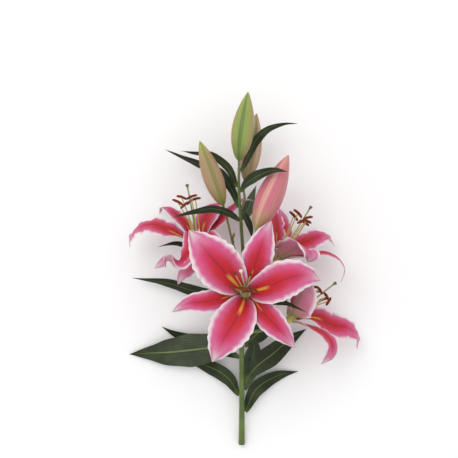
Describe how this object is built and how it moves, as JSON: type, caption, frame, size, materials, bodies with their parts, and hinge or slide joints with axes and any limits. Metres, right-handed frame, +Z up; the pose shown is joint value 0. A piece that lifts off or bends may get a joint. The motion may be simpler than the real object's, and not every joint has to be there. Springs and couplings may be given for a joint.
{
  "type": "cut lily",
  "caption": "Cut stem of a pink oriental lily lying flat, with open flowers, closed buds and leaves along a single straight stem.",
  "frame": {"origin": "centre of the bounding box in X and Y, at the lowest point of the plant in Z, which is the surface it lies on", "axes": "+Y along the stem from the cut end to the top bud, +Z up from the surface that the plant lies on, +X to the right as seen from above with the buds at the top"},
  "size_m": [0.282, 0.4307, 0.1459],
  "materials": {
    "stem": "smooth, faintly waxy living stem",
    "flower_stalk": "smooth, faintly waxy living stalk",
    "leaf": "leathery, soft sheen",
    "tepal": "velvety, matt",
    "green_bud": "waxy",
    "pink_bud": "waxy",
    "stamens": "powdery anthers on smooth filaments",
    "pistil": "smooth, wet-looking stigma"
  },
  "bodies": {
    "root": {"aborted_bud": "green_bud", "back_bud": "pink_bud", "bract_arching": "leaf", "bract_left_flower": "leaf", "bract_lower_flower": "leaf", "bract_short": "leaf", "front_flower_stalk": "flower_stalk", "front_petal_lower": "tepal", "front_petal_right": "tepal", "front_petal_upper_left": "tepal", "front_pistil": "pistil", "front_sepal_left": "tepal", "front_sepal_lower_right": "tepal", "front_sepal_top": "tepal", "front_stamens": "stamens", "leaf_behind_stem": "leaf", "leaf_broad_left": "leaf", "leaf_broad_right": "leaf", "leaf_left": "leaf", "leaf_long_left": "leaf", "leaf_low_left": "leaf", "leaf_low_right": "leaf", "leaf_over_pink_bud": "pink_bud", "leaf_pointed_left": "leaf", "leaf_right_behind": "leaf", "leaf_top_right": "leaf", "leaf_upper_left": "leaf", "leaf_upright": "leaf", "left_bud": "pink_bud", "left_flower_stalk": "flower_stalk", "left_petal_far_right": "tepal", "left_petal_long_left": "tepal", "left_petal_near_right": "tepal", "left_pistil": "pistil", "left_sepal_far_left": "tepal", "left_sepal_long_right": "tepal", "left_sepal_near_left": "tepal", "left_stamens": "stamens", "lower_flower_stalk": "flower_stalk", "lower_petal_far_top": "tepal", "lower_petal_long_right": "tepal", "lower_petal_near_top": "tepal", "lower_pistil": "pistil", "lower_sepal_downward": "tepal", "lower_sepal_far_right": "tepal", "lower_sepal_hidden_left": "tepal", "lower_stamens": "stamens", "pink_bud": "pink_bud", "right_flower_stalk": "flower_stalk", "right_petal_far_right": "tepal", "right_petal_near": "tepal", "right_petal_upper_left": "tepal", "right_pistil": "pistil", "right_sepal_far_top": "tepal", "right_sepal_long_right": "tepal", "right_sepal_near_left": "tepal", "right_stamens": "stamens", "stem": "stem", "top_bud": "green_bud"}
  },
  "joints": []
}
